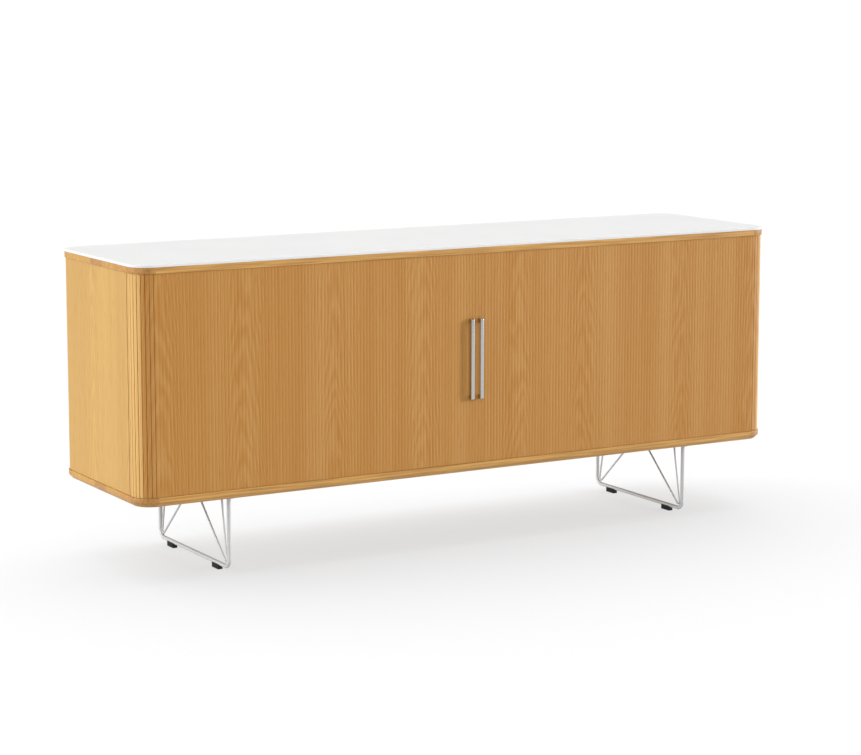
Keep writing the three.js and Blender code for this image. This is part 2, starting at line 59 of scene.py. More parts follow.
MM = 0.001
SIDES = {"left": -1, "right": 1}

# Places that the frame gives
top_low, top_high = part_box("top_board")
base_low, base_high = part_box("bottom_board")
sheet_low, sheet_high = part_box("top_sheet")
END = top_high.x
FRONT = top_low.y
BACK = top_high.y
MIDDLE = (FRONT + BACK) / 2
OPENING_LOW = base_high.z
OPENING_HIGH = top_low.z
joints = {joint["name"]: joint for joint in frame["joints"]}
TRAVEL = max(joints["left_door_slide"]["range_m"])

# Boards and panels
CORNER_RADIUS = 50 * MM
BASE_CHAMFER = 10 * MM
BOARD_EASE = 0.8 * MM
SHEET_EASE = 1.2 * MM
PANEL_EASE = 0.6 * MM
STAVE_WIDTH = 72 * MM
STAVE_TONES = ("#BE9046", "#AC7E3A", "#BA883C", "#BB8F43", "#AF8140", "#BF9344", "#C09545", "#BA8F41")
REVEAL = 2.5 * MM  # the boards stand this far proud of the panels and the doors
PANEL_THICKNESS = 12 * MM
PANEL_NOSE = 1.0 * MM  # thickness of an end panel's front edge

# Tambour doors
SLAT_PITCH = 8.72 * MM
SLAT_WIDTH = 8.66 * MM
SLAT_ROUNDING = 0.15 * MM
SLAT_CROWN = 0.32 * MM  # how far the middle of a slat stands above its rounded edges
CROWN_STEPS = 4
SLAT_DEPTH = 5.2 * MM
SLAT_GAP_DEPTH = 1.5 * MM  # how deep the gaps are that open between slats at a corner
SLAT_CLEARANCE = 0.4 * MM
SLAT_COUNT = 110
FRONT_SLATS = 94  # on the straight run in front, up to the corner
CORNER_SLATS = {"left": 4, "right": 3}  # the next ones round a corner; the rest wear a paler copy of the slat veneer, painted light where they turn to the side
STILE_SLATS = 3
STILE_DEPTH = 14 * MM
STILE_GROOVE = 0.7 * MM
STILE_EASE = 0.3 * MM
MEETING_GAP = 0.4 * MM
FIT = 0.3 * MM  # the gap round a piece that sits in another
WEB = 3 * MM  # thickness of the canvas
TONGUE = 2.4 * MM
TONGUE_DEPTH = 6 * MM
GROOVE = 3.6 * MM  # in both boards, for the tongues
GROOVE_DEPTH = 7 * MM
CANVAS_ENTRY = 6 * MM  # how far the canvas reaches into a stile
TRACK_CLEARANCE = 1 * MM
PANEL_CLEARANCE = 0.2 * MM  # between the slats and the inside of an end panel
TUCK_ANGLE = 29  # degrees that the track turns in behind an end panel

# Handles
PULL_THICKNESS = 4 * MM
PULL_FOOT = 11 * MM
PULL_ROUNDING = 2.5 * MM
PULL_EASE = 1.2 * MM

# Legs
TUBE_DIAMETER = 10 * MM
TUBE_BEND = 20 * MM
TUBE_SIDES = 24
ROD_DIAMETER = 5 * MM
ROD_BEND = 6 * MM
ROD_SIDES = 16
ROD_TOP_SPREAD = 40 * MM
ROD_TOP_GAP = 8 * MM
WELD_DEPTH = 2 * MM  # how far tubes and rods reach into the bar that they are welded to
BAR_EASE = 0.6 * MM
GLIDE_EASE = 0.4 * MM

# Screws and pins: a screw's shank, head and socket are diameters, and its rise is that of the head
PULL_SCREW = {"shank": 4 * MM, "head": 7.5 * MM, "rise": 2.4 * MM, "length": 20 * MM, "socket": 3.4 * MM}
LEG_SCREW = {"shank": 5 * MM, "head": 9.5 * MM, "rise": 3.2 * MM, "length": 20 * MM, "socket": 4.4 * MM}
SCREW_EASE = 0.6 * MM
SCREW_POINT = 1 * MM
SOCKET_DEPTH = 1.2 * MM
PIN_EASE = 0.5 * MM

# Fineness of the meshes
ARC_STEP = math.radians(3)
SAME_PLACE = MM / 100  # two points of a track that are nearer than this count as one
ROUND_STEPS = 3
EASE_STEPS = 2
PULL_STEPS = 6
BEND_STEPS = 12
SADDLE_STEPS = 16
TURNED_SIDES = 20
SHARP_ANGLE = math.radians(30)  # an edge that turns more is rounded
CREASE_ANGLE = math.radians(42)  # an edge that turns more is shaded as a crease
WIDE_FACE = 20e-4  # square metres; a wider face stays flat beside its rounded edges

# What follows from those sizes
corner_x = END - CORNER_RADIUS
corner_y = BACK - MIDDLE - CORNER_RADIUS
face_offset = WEB / 2 + SLAT_DEPTH  # from the line of the track to the face of the slats
slat_foot = face_offset - SLAT_GAP_DEPTH
door_face = FRONT + REVEAL
stile_width = STILE_SLATS * SLAT_PITCH
slat_low = OPENING_LOW + SLAT_CLEARANCE
slat_high = OPENING_HIGH - SLAT_CLEARANCE
split = stile_width + FRONT_SLATS * SLAT_PITCH
curtain_end = stile_width + SLAT_COUNT * SLAT_PITCH


class Track:
    """A line in a plane made of straight runs and arcs, addressed by the distance along it."""

    def __init__(self, x, y, heading):
        self.runs = []
        self.length = 0
        self.tip = (x, y, heading)

    def run(self, length, turn=0):
        self.runs.append((self.length, length, turn, self.tip))
        self.length += length
        self.tip = self.frame(self.length)

    def arc(self, radius, degrees):
        turn = math.radians(degrees)
        self.run(radius * abs(turn), turn)

    def frame(self, distance):
        """The place and the heading at a distance."""
        begin, length, turn, (x, y, heading) = next(
            (run for run in self.runs if distance <= run[0] + run[1]), self.runs[-1]
        )
        along = distance - begin
        if turn == 0:
            return x + along * math.cos(heading), y + along * math.sin(heading), heading
        bent = heading + turn * along / length
        radius = length / turn
        x += radius * (math.sin(bent) - math.sin(heading))
        y -= radius * (math.cos(bent) - math.cos(heading))
        return x, y, bent

    def at(self, distance, offset=0.0):
        """A point at a distance, moved to the right of the direction of travel."""
        x, y, heading = self.frame(distance)
        return x + offset * math.sin(heading), y - offset * math.cos(heading)

    def side(self, start, stop, offset=0.0):
        """The points of a stretch, with an arc cut into even steps."""
        marks = []
        for begin, length, turn, _ in self.runs:
            steps = max(1, math.ceil(round(abs(turn) / ARC_STEP, 6)))
            marks += [begin + length * i / steps for i in range(1, steps + 1)]
        inside = [mark for mark in marks if start + SAME_PLACE < mark < stop - SAME_PLACE]
        return [self.at(mark, offset) for mark in [start, *inside, stop]]

    def band(self, start, stop, inner, outer):
        """The outline of a stretch between two offsets."""
        return self.side(start, stop, outer) + self.side(start, stop, inner)[::-1]


# The line of the canvas in plan, from the middle of the front round to the back. It follows the front
# corner, tucks in behind the side panel and runs round the back corner.
front_bend = CORNER_RADIUS - REVEAL - face_offset
rear_bend = front_bend - PANEL_THICKNESS - TRACK_CLEARANCE
tuck_cosine = math.cos(math.radians(TUCK_ANGLE))
tuck_bend = (front_bend * tuck_cosine - rear_bend) / (1 - tuck_cosine)
tuck_rise = (front_bend + tuck_bend) * math.sin(math.radians(TUCK_ANGLE))
door_track = Track(0, door_face + face_offset, 0)
door_track.run(corner_x)
door_track.arc(front_bend, 90 + TUCK_ANGLE)
door_track.arc(tuck_bend, -TUCK_ANGLE)
door_track.run(2 * corner_y - tuck_rise)
door_track.arc(rear_bend, 90)
rear_corner_end = door_track.length
door_track.run(corner_x - 2 * stile_width)


def linear(code):
    """The linear colour of an sRGB hex value."""
    shares = [int(code[i : i + 2], 16) / 255 for i in (1, 3, 5)]
    return [s / 12.92 if s <= 0.04045 else ((s + 0.055) / 1.055) ** 2.4 for s in shares] + [1.0]


def node(tree, kind, inputs=None, **settings):
    """Adds a node with its settings. Each input is a value, a hex colour, a socket or a node, which then
    feeds it with its first output."""
    made = tree.nodes.new(kind)
    for name, value in settings.items():
        setattr(made, name, value)
    for key, value in (inputs or {}).items():
        matches = (s for s in made.inputs if s.enabled and s.name == key)
        socket = made.inputs[key] if isinstance(key, int) else next(matches)
        if isinstance(value, bpy.types.Node):
            value = next(s for s in value.outputs if s.enabled)
        if isinstance(value, bpy.types.NodeSocket):
            tree.links.new(value, socket)
            continue
        hex_colour = isinstance(value, str) and value.startswith("#")
        socket.default_value = linear(value) if hex_colour else value
    return made


def new_material(name):
    """An empty material, and the function that adds nodes to it."""
    made = bpy.data.materials.new(name)
    made.use_nodes = True
    made.node_tree.nodes.clear()
    return made, partial(node, made.node_tree)


def surfaced(made, colour, relief, others):
    """Ends a material in a principled shader with a colour, a relief and other inputs by name."""
    look = {"Base Color": colour, "Normal": relief, **others}
    shader = node(made.node_tree, "ShaderNodeBsdfPrincipled", look)
    node(made.node_tree, "ShaderNodeOutputMaterial", {"Surface": shader})
    return made


# Materials

# Widths of the veneer's leaves
SLAT_LEAF = 235 * MM
PANEL_LEAF = 240 * MM
LINING_LEAF = 210 * MM
SHELF_LEAF = 150 * MM

# The figure of oak, as widths and lengths in millimetres
BAND_SIZE = (60, 3000)
GROWTH_SIZE = (40, 260)
FIBRE_SIZE = (3.4, 420)
PORE_SIZE = (2.0, 45)
ARCH_SPACING = 90  # between the peaks of the arches

# How each kind of figure is drawn
ARCH_BEND = 90.0  # arches that one crosses from the peaks to one leaf width beside them
ARCH_DRIFT = 4.0  # arches by which uneven growth can move one
CROWN_FIRST = 0.3  # the arches peak between these shares of a leaf's width
CROWN_LAST = 0.7
LEAF_SPREAD = 600.0  # how far apart the leaves lie in the noise that they are cut from
BAND_CONTRAST = 2.0
ARCH_CONTRAST = 0.32
FIBRE_CONTRAST = 1.3
FAINT_PORE = 0.56  # the noise at which a pore starts to show
FULL_PORE = 0.72
PORE_DARKNESS = 0.3
PORE_DULLNESS = 0.2
PORE_DEPTH = 0.1 * MM


def oak_veneer(name, light, dark, pore, place, leaf_width, roughness):
    """Oak veneer, crown cut and clear lacquered. The eye sees leaves laid side by side, long arches of
    early and late wood in each, fine fibres along the leaf and short dark pores that catch the lacquer.
    The fibres and pores are drawn about twice as coarse as real ones, so that they show in a render."""
    made, add = new_material(name)
    across, along = (
        add("ShaderNodeMath", {0: length, 1: 1 / MM}, operation="MULTIPLY") for length in place(add)
    )
    leaf_share = add("ShaderNodeMath", {0: across, 1: leaf_width / MM}, operation="DIVIDE")
    leaf = add("ShaderNodeMath", {0: leaf_share}, operation="FLOOR")
    chance = add("ShaderNodeTexWhiteNoise", {"W": leaf}, noise_dimensions="1D")
    depth = add("ShaderNodeMath", {0: chance, 1: LEAF_SPREAD}, operation="MULTIPLY")
    grain = add("ShaderNodeCombineXYZ", {"X": across, "Y": along, "Z": depth})

    def figure(size, **texture):
        width, length = size
        scale = (1 / width, 1 / length, 1.0)
        scaled = add("ShaderNodeVectorMath", {0: grain, 1: scale}, operation="MULTIPLY")
        return add("ShaderNodeTexNoise", {"Vector": scaled, "Scale": 1.0, **texture})

    bands = figure(BAND_SIZE, Detail=2.0, Roughness=0.6)
    growth = figure(GROWTH_SIZE, Detail=2.0, Roughness=0.5)
    fibres = figure(FIBRE_SIZE, Detail=3.0, Roughness=0.65)
    pores = figure(PORE_SIZE, Detail=1.0, Roughness=0.5)
    crown = add(
        "ShaderNodeMath",
        {0: chance, 1: CROWN_LAST - CROWN_FIRST, 2: CROWN_FIRST},
        operation="MULTIPLY_ADD",
    )
    within = add("ShaderNodeMath", {0: leaf_share, 1: leaf}, operation="SUBTRACT")
    aside = add("ShaderNodeMath", {0: within, 1: crown}, operation="SUBTRACT")
    aside = add("ShaderNodeMath", {0: aside, 1: aside}, operation="MULTIPLY")
    rings = add("ShaderNodeMath", {0: along, 1: 1 / ARCH_SPACING, 2: depth}, operation="MULTIPLY_ADD")
    rings = add("ShaderNodeMath", {0: aside, 1: ARCH_BEND, 2: rings}, operation="MULTIPLY_ADD")
    rings = add("ShaderNodeMath", {0: growth, 1: ARCH_DRIFT, 2: rings}, operation="MULTIPLY_ADD")
    turns = add("ShaderNodeMath", {0: rings, 1: math.tau}, operation="MULTIPLY")
    arches = add("ShaderNodeMath", {0: turns}, operation="SINE")
    open_pores = add(
        "ShaderNodeMapRange", {"Value": pores, "From Min": FAINT_PORE, "From Max": FULL_PORE}
    )

    # Each kind of figure shades the wood about its middle tone.
    shade = add(
        "ShaderNodeMath", {0: bands, 1: BAND_CONTRAST, 2: -BAND_CONTRAST / 2}, operation="MULTIPLY_ADD"
    )
    shade = add("ShaderNodeMath", {0: arches, 1: ARCH_CONTRAST, 2: shade}, operation="MULTIPLY_ADD")
    streak = add(
        "ShaderNodeMath",
        {0: fibres, 1: FIBRE_CONTRAST, 2: 0.5 - FIBRE_CONTRAST / 2},
        operation="MULTIPLY_ADD",
    )
    shade = add("ShaderNodeMath", {0: shade, 1: streak}, operation="ADD")
    wood = add("ShaderNodeMix", {"Factor": shade, "A": dark, "B": light}, data_type="RGBA")
    pore_share = add("ShaderNodeMath", {0: open_pores, 1: PORE_DARKNESS}, operation="MULTIPLY")
    colour = add("ShaderNodeMix", {"Factor": pore_share, "A": wood, "B": pore}, data_type="RGBA")
    gloss = add(
        "ShaderNodeMath", {0: open_pores, 1: PORE_DULLNESS, 2: roughness}, operation="MULTIPLY_ADD"
    )
    relief = add(
        "ShaderNodeBump", {"Height": open_pores, "Strength": 0.35, "Distance": PORE_DEPTH}, invert=True
    )
    return surfaced(made, colour, relief, {"Roughness": gloss, "IOR": 1.5, "Specular IOR Level": 0.4})


def upright_grain(add):
    """How far a point lies across and along a veneer that stands upright on the sides and the back."""
    place = add("ShaderNodeTexCoord").outputs["Object"]
    parts = add("ShaderNodeSeparateXYZ", {0: place}).outputs
    across = add("ShaderNodeMath", {0: parts["X"], 1: parts["Y"]}, operation="ADD")
    return across, parts["Z"]


def lengthwise_grain(add):
    """How far a point lies across and along a veneer that runs from left to right."""
    place = add("ShaderNodeTexCoord").outputs["Object"]
    parts = add("ShaderNodeSeparateXYZ", {0: place}).outputs
    across = add("ShaderNodeMath", {0: parts["Y"], 1: parts["Z"]}, operation="ADD")
    return across, parts["X"]


def curtain_grain(add):
    """How far a point lies across and along the veneer of a door, unrolled round its corner."""
    place = add("ShaderNodeAttribute", attribute_name="veneer").outputs["Vector"]
    parts = add("ShaderNodeSeparateXYZ", {0: place}).outputs
    return parts["X"], parts["Z"]


STREAK_SIZE = (140, 4, 4)  # millimetres along a board, across it and through it
STREAK_CONTRAST = 2.4


def oak_staves():
    """Solid oak staves glued side by side, planed and clear lacquered. The ends show each stave as a
    block of its own tone with mottled end grain, and the long edges show one stave with streaks along
    it. The end grain is drawn coarser than real pores, so that it shows in a render."""
    made, add = new_material("solid_oak_staves")
    place = add("ShaderNodeTexCoord").outputs["Object"]
    parts = add("ShaderNodeSeparateXYZ", {0: place}).outputs

    # The first stave ends where the front corner does. The ends of a board are one tone further on.
    from_front = add(
        "ShaderNodeMath",
        {0: parts["Y"], 1: 1 / STAVE_WIDTH, 2: 1 - (FRONT + CORNER_RADIUS) / STAVE_WIDTH},
        operation="MULTIPLY_ADD",
    )
    stave = add("ShaderNodeMath", {0: from_front}, operation="FLOOR")
    stave = add("ShaderNodeMath", {0: stave, 1: 0.0}, operation="MAXIMUM")
    far_x = add("ShaderNodeMath", {0: parts["X"]}, operation="ABSOLUTE")
    past_x = add("ShaderNodeMath", {0: far_x, 1: corner_x}, operation="GREATER_THAN")
    block = add("ShaderNodeMath", {0: past_x, 1: stave}, operation="ADD")
    share = add("ShaderNodeMath", {0: block, 1: 1 / len(STAVE_TONES)}, operation="MULTIPLY")
    tones = add("ShaderNodeValToRGB", {"Fac": share})
    ramp = tones.color_ramp
    ramp.interpolation = "CONSTANT"
    while len(ramp.elements) < len(STAVE_TONES):
        ramp.elements.new(1.0)
    for i, (stop, tone) in enumerate(zip(ramp.elements, STAVE_TONES)):
        stop.position = max(0.0, (i - 0.5) / len(STAVE_TONES))
        stop.color = linear(tone)
    tone = tones.outputs["Color"]

    scale = [1 / (size * MM) for size in STREAK_SIZE]
    scaled = add("ShaderNodeVectorMath", {0: place, 1: scale}, operation="MULTIPLY")
    chance = add("ShaderNodeTexWhiteNoise", {"W": block}, noise_dimensions="1D").outputs["Color"]
    shifted = add("ShaderNodeVectorMath", {0: scaled, 1: chance}, operation="ADD")
    streaks = add("ShaderNodeTexNoise", {"Vector": shifted, "Scale": 1.0, "Detail": 3.0})
    shade = add(
        "ShaderNodeMath",
        {0: streaks, 1: STREAK_CONTRAST, 2: 0.5 - STREAK_CONTRAST / 2},
        operation="MULTIPLY_ADD",
    )
    darker = add(
        "ShaderNodeMix",
        {"Factor": 1.0, "A": tone, "B": "#C9B9A4"},
        data_type="RGBA",
        blend_type="MULTIPLY",
    )
    colour = add("ShaderNodeMix", {"Factor": shade, "A": darker, "B": tone}, data_type="RGBA")
    relief = add("ShaderNodeBump", {"Height": streaks, "Strength": 0.2, "Distance": 0.1 * MM})
    return surfaced(made, colour, relief, {"Roughness": 0.5, "IOR": 1.5})


def white_laminate():
    """High pressure laminate with a fine matt texture. The eye sees an even, slightly cool white with a
    very soft sheen, a little uneven where the press left it. The sides below the eased top edge are a
    slightly greyer white. The grit is drawn coarser than a real one, so that it shows."""
    grit_size = 1.5 * MM
    cloud_size = 180 * MM
    smoothest = 0.62
    unevenness = 0.12
    made, add = new_material("white_laminate")
    place = add("ShaderNodeTexCoord").outputs["Object"]
    grit = add("ShaderNodeTexNoise", {"Vector": place, "Scale": 1 / grit_size, "Detail": 2.0})
    cloud = add("ShaderNodeTexNoise", {"Vector": place, "Scale": 1 / cloud_size, "Detail": 2.0})
    white = add("ShaderNodeMix", {"Factor": cloud, "A": "#D9D9D9", "B": "#DEDEDD"}, data_type="RGBA")
    height = add("ShaderNodeSeparateXYZ", {"Vector": place}).outputs["Z"]
    on_top = add(
        "ShaderNodeMapRange",
        {"Value": height, "From Min": sheet_high.z - SHEET_EASE, "From Max": sheet_high.z},
    )
    colour = add("ShaderNodeMix", {"Factor": on_top, "A": "#CACACA", "B": white}, data_type="RGBA")
    gloss = add("ShaderNodeMath", {0: cloud, 1: unevenness, 2: smoothest}, operation="MULTIPLY_ADD")
    relief = add("ShaderNodeBump", {"Height": grit, "Strength": 0.12, "Distance": 0.05 * MM})
    return surfaced(made, colour, relief, {"Roughness": gloss, "IOR": 1.5, "Specular IOR Level": 0.05})


def drawn_metal(name, colour_low, colour_high, roughness, metallic=1.0):
    """A drawn and satin finished metal. The eye sees a bright grey with fine upright lines, drawn
    coarser than real ones so that they show, and highlights spread by them. Where the satin is deep, it
    scatters light like a paint, so the metal is given a lower metallic share."""
    line_length = 60 * MM
    line_width = 0.8 * MM
    unevenness = 0.16
    made, add = new_material(name)
    place = add("ShaderNodeTexCoord").outputs["Object"]
    scale = (1 / line_width, 1 / line_width, 1 / line_length)
    scaled = add("ShaderNodeVectorMath", {0: place, 1: scale}, operation="MULTIPLY")
    lines = add("ShaderNodeTexNoise", {"Vector": scaled, "Scale": 1.0, "Detail": 2.0})
    colour = add(
        "ShaderNodeMix", {"Factor": lines, "A": colour_low, "B": colour_high}, data_type="RGBA"
    )
    gloss = add(
        "ShaderNodeMath",
        {0: lines, 1: unevenness, 2: roughness - unevenness / 2},
        operation="MULTIPLY_ADD",
    )
    relief = add("ShaderNodeBump", {"Height": lines, "Strength": 0.08, "Distance": 0.02 * MM})
    return surfaced(made, colour, relief, {"Roughness": gloss, "Metallic": metallic})


def black_rubber():
    """Moulded black rubber. The eye sees a near black, dull surface with a faint grey bloom and a
    pebbled skin, drawn coarser than a real one so that it shows."""
    pebble_size = 1.2 * MM
    bloom_size = 9 * MM
    smoothest = 0.62
    unevenness = 0.2
    made, add = new_material("black_rubber")
    place = add("ShaderNodeTexCoord").outputs["Object"]
    pebble = add("ShaderNodeTexVoronoi", {"Vector": place, "Scale": 1 / pebble_size})
    bloom = add("ShaderNodeTexNoise", {"Vector": place, "Scale": 1 / bloom_size, "Detail": 3.0})
    colour = add("ShaderNodeMix", {"Factor": bloom, "A": "#0C0C0D", "B": "#1E1E1F"}, data_type="RGBA")
    gloss = add("ShaderNodeMath", {0: bloom, 1: unevenness, 2: smoothest}, operation="MULTIPLY_ADD")
    relief = add("ShaderNodeBump", {"Height": pebble, "Strength": 0.25, "Distance": 0.1 * MM})
    return surfaced(made, colour, relief, {"Roughness": gloss, "IOR": 1.52, "Specular IOR Level": 0.2})


def canvas_with_painted_gap_shade():
    """Woven cotton canvas glued to the slats, which from the front shows only in the gaps between them.
    Its dark red brown is the cloth's own brown deepened with painted shade and the warm bounce light of
    those gaps. The eye sees a dull, slightly uneven cloth with crossing threads, drawn twice as coarse
    as real ones so that they show."""
    thread_spacing = 2.0 * MM
    contrast = 0.4
    made, add = new_material("canvas_with_painted_gap_shade")
    place = add("ShaderNodeAttribute", attribute_name="veneer").outputs["Vector"]
    parts = add("ShaderNodeSeparateXYZ", {0: place}).outputs
    waves = []
    for name in ("X", "Z"):
        angle = add(
            "ShaderNodeMath", {0: parts[name], 1: math.tau / thread_spacing}, operation="MULTIPLY"
        )
        waves.append(add("ShaderNodeMath", {0: angle}, operation="SINE"))
    weave = add("ShaderNodeMath", {0: waves[0], 1: waves[1]}, operation="MULTIPLY")
    share = add("ShaderNodeMath", {0: weave, 1: contrast, 2: 0.5}, operation="MULTIPLY_ADD")
    # Painted shade: both tones are darker and redder than the cloth, for the shade and bounce light in
    # the gaps between slats
    colour = add("ShaderNodeMix", {"Factor": share, "A": "#9A4212", "B": "#AA501E"}, data_type="RGBA")
    relief = add("ShaderNodeBump", {"Height": weave, "Strength": 0.4, "Distance": 0.2 * MM})
    return surfaced(made, colour, relief, {"Roughness": 0.9, "IOR": 1.45})


LINING_TONES = ("#BE9250", "#AE8142", "#966A30")

slat_oak = oak_veneer(
    "oak_veneer_on_slats", "#A97A3A", "#9F6A20", "#925A1A", curtain_grain, SLAT_LEAF, roughness=0.5
)
# Painted light: a paler copy of the slat veneer for the slats past the corner, where the side light
# falls on them
painted_light_slat_oak = oak_veneer(
    "painted_light_oak_veneer_on_slats", "#BF9856", "#B38949", "#A3773A", curtain_grain, SLAT_LEAF, roughness=0.5
)
panel_oak = oak_veneer(
    "oak_veneer_on_panels", "#B68F4B", "#A9823F", "#9B6F34", upright_grain, PANEL_LEAF, roughness=0.5
)
lining_oak = oak_veneer(
    "oak_veneer_lining_upright", *LINING_TONES, upright_grain, LINING_LEAF, roughness=0.55
)
shelf_oak = oak_veneer(
    "oak_veneer_lining_lengthwise", *LINING_TONES, lengthwise_grain, SHELF_LEAF, roughness=0.55
)
board_oak = oak_staves()
laminate = white_laminate()
leg_steel = drawn_metal("satin_stainless_steel", "#B2B3B4", "#C0C1C2", roughness=0.56, metallic=0.45)
pull_aluminium = drawn_metal("satin_anodised_aluminium", "#B2B1AE", "#BDBCB9", roughness=0.24)
zinc = drawn_metal("zinc_plated_steel", "#9FA3A6", "#B4B8BA", roughness=0.4)
rubber = black_rubber()
canvas = canvas_with_painted_gap_shade()


# Meshes


def loft(rings):
    """A closed skin over rings that all have the same number of points."""
    skin = bmesh.new()
    rows = [[skin.verts.new(point) for point in ring] for ring in rings]
    for low, high in zip(rows, rows[1:]):
        for i, start in enumerate(low):
            stop = (i + 1) % len(low)
            skin.faces.new((start, low[stop], high[stop], high[i]))
    skin.faces.new(rows[0][::-1])
    skin.faces.new(rows[-1])
    return skin


def prism(outline, low, high):
    """A plan outline, given counter-clockwise or not, drawn up between two heights."""
    return loft([[(x, y, z) for x, y in outline] for z in (low, high)])


def ease_edges(skin, width):
    """Rounds the sharp edges of a skin."""
    bmesh.ops.recalc_face_normals(skin, faces=skin.faces)
    sharp = [edge for edge in skin.edges if edge.is_manifold and edge.calc_face_angle() > SHARP_ANGLE]
    bmesh.ops.bevel(
        skin,
        geom=sharp,
        offset=width,
        segments=EASE_STEPS,
        profile=0.5,
        affect="EDGES",
        clamp_overlap=True,
    )


def to_mesh(skin, name):
    """A mesh whose round stretches are smooth and whose wide faces are flat."""
    bmesh.ops.recalc_face_normals(skin, faces=skin.faces)
    for face in skin.faces:
        face.smooth = face.calc_area() < WIDE_FACE
    for edge in skin.edges:
        edge.smooth = edge.is_manifold and edge.calc_face_angle() < CREASE_ANGLE
    mesh = bpy.data.meshes.new(name)
    skin.to_mesh(mesh)
    skin.free()
    return mesh


def unrolled(mesh):
    """Notes each point's own place as its place on the unrolled veneer."""
    veneer = mesh.attributes.new("veneer", "FLOAT_VECTOR", "POINT")
    for point, vertex in zip(veneer.data, mesh.vertices):
        point.vector = vertex.co
    return mesh


def show(name, data):
    """A new object in the scene."""
    made = bpy.data.objects.new(name, data)
    bpy.context.scene.collection.objects.link(made)
    return made


def shaped(name, skin, ease=0):
    """A piece with the shape of a skin, with its sharp edges rounded where an ease is given."""
    if ease:
        ease_edges(skin, ease)
    return show(name, to_mesh(skin, name))


def finished(piece, finish, body, slot, *nodes):
    """Gives a piece its material and body, and hides the nodes that it replaces. The slot is not used.
    """
    piece.data.materials.clear()
    piece.data.materials.append(finish)
    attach(piece, body)
    if nodes:
        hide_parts(*nodes)


def settled(piece):
    """Turns what a piece's modifiers make into its plain mesh."""
    graph = bpy.context.evaluated_depsgraph_get()
    made = bpy.data.meshes.new_from_object(
        piece.evaluated_get(graph), preserve_all_data_layers=True, depsgraph=graph
    )
    piece.modifiers.clear()
    piece.data = made
    return piece


def eased_block(name, node_name, ease):
    """A block that fills a node's box, with rounded edges."""
    low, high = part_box(node_name)
    outline = [(low.x, low.y), (high.x, low.y), (high.x, high.y), (low.x, high.y)]
    return shaped(name, prism(outline, low.z, high.z), ease)


# Node trees for what repeats


def new_tree(name, inputs):
    """An empty geometry tree with named inputs, the function that adds nodes to it, and its inputs."""
    tree = bpy.data.node_groups.new(name, "GeometryNodeTree")
    for label, kind in {"Geometry": "Geometry", **inputs}.items():
        tree.interface.new_socket(label, in_out="INPUT", socket_type=f"NodeSocket{kind}")
    tree.interface.new_socket("Geometry", in_out="OUTPUT", socket_type="NodeSocketGeometry")
    return tree, partial(node, tree), tree.nodes.new("NodeGroupInput").outputs


def close_tree(add, instances, finish):
    """Ends a tree in real meshes with their material."""
    real = add("GeometryNodeRealizeInstances", {"Geometry": instances})
    dressed = add("GeometryNodeSetMaterial", {"Geometry": real, "Material": finish})
    add("NodeGroupOutput", {"Geometry": dressed})


def grow(piece, tree, values):
    """Runs a tree on a piece with the given inputs and keeps the result as its mesh."""
    modifier = piece.modifiers.new(tree.name, "NODES")
    modifier.node_group = tree
    for item in tree.interface.items_tree:
        if item.in_out == "INPUT" and item.name in values:
            modifier[item.identifier] = values[item.name]
    return settled(piece)


def slat_tree():
    """Copies one slat along a track at an even pitch, square to the track and facing outwards. Each
    point keeps its place on the unrolled veneer."""
    tree, add, given = new_tree(
        "slats_along_track",
        {
            "Track": "Object",
            "First slat": "Float",
            "Pitch": "Float",
            "Count": "Int",
            "Side": "Float",
            "Finish": "Material",
        },
    )
    track = add("GeometryNodeObjectInfo", {"Object": given["Track"]})
    index = add("GeometryNodeInputIndex")
    distance = add(
        "ShaderNodeMath",
        {0: index, 1: given["Pitch"], 2: given["First slat"]},
        operation="MULTIPLY_ADD",
    )
    spot = add(
        "GeometryNodeSampleCurve",
        {"Curves": track.outputs["Geometry"], "Length": distance},
        mode="LENGTH",
    )
    facing = add(
        "ShaderNodeVectorMath", {0: spot.outputs["Tangent"], "Scale": given["Side"]}, operation="SCALE"
    )
    turn = add("FunctionNodeAlignRotationToVector", {"Vector": facing}, axis="X", pivot_axis="Z")
    places = add("GeometryNodeMeshLine", {"Count": given["Count"]})
    places = add("GeometryNodeSetPosition", {"Geometry": places, "Position": spot.outputs["Position"]})
    from_middle = add("ShaderNodeMath", {0: distance, 1: given["Side"]}, operation="MULTIPLY")
    places = add(
        "GeometryNodeStoreNamedAttribute",
        {"Geometry": places, "Name": "from_middle", "Value": from_middle},
        data_type="FLOAT",
        domain="POINT",
    )
    slats = add(
        "GeometryNodeInstanceOnPoints",
        {"Points": places, "Instance": given["Geometry"], "Rotation": turn},
    )
    real = add("GeometryNodeRealizeInstances", {"Geometry": slats})
    own = add("GeometryNodeInputNamedAttribute", {"Name": "veneer"}, data_type="FLOAT_VECTOR")
    moved = add("GeometryNodeInputNamedAttribute", {"Name": "from_middle"}, data_type="FLOAT")
    shift = add("ShaderNodeCombineXYZ", {"X": moved})
    place = add("ShaderNodeVectorMath", {0: own, 1: shift}, operation="ADD")
    real = add(
        "GeometryNodeStoreNamedAttribute",
        {"Geometry": real, "Name": "veneer", "Value": place},
        data_type="FLOAT_VECTOR",
        domain="POINT",
    )
    close_tree(add, real, given["Finish"])
    return tree


